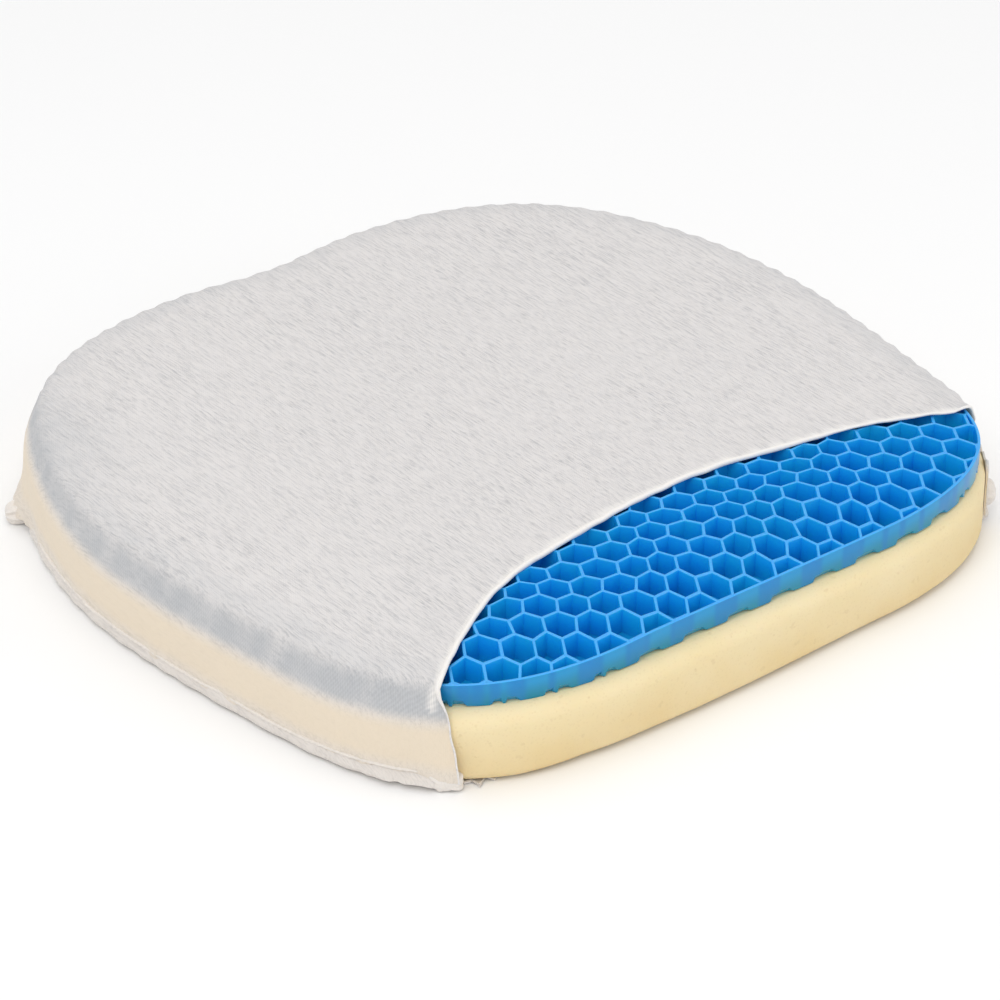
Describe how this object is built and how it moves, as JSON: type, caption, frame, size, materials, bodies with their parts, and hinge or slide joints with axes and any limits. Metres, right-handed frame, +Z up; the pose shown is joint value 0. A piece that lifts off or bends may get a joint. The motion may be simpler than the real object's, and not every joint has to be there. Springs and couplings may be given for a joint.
{
  "type": "seat cushion",
  "caption": "Seat cushion cut open at the front: a blue honeycomb gel pad on a moulded foam base, in a sewn heathered jersey cover.",
  "frame": {"origin": "centre of the underside, on the surface that the cushion rests on, midway between the foam's front edge and the crests of its back edge", "axes": "+Z up, -Y towards the front edge, where the cover is cut open, +Y towards the back edge with its shallow dip, +X to the right of someone who faces the back edge"},
  "size_m": [0.4104, 0.3813, 0.0489],
  "materials": {
    "foam": "open-cell moulded polyurethane foam, cream, fine pores",
    "gel": "soft translucent blue gel elastomer, satin",
    "jersey_top": "thin off-white jersey with grey heather streaks that run from front to back",
    "jersey_bottom": "thin plain off-white jersey",
    "sewn_edge": "overlocked edge of two layers of jersey, slightly wavy"
  },
  "bodies": {
    "root": {"foam_base": "foam", "gel_honeycomb": "gel", "cover_top_panel": "jersey_top", "cover_bottom_panel": "jersey_bottom", "seam_right": "sewn_edge", "seam_back": "sewn_edge", "seam_left": "sewn_edge", "corner_gather_front_right": "sewn_edge", "corner_gather_back_right": "sewn_edge", "corner_gather_back_left": "sewn_edge", "corner_gather_front_left": "sewn_edge"}
  },
  "joints": []
}
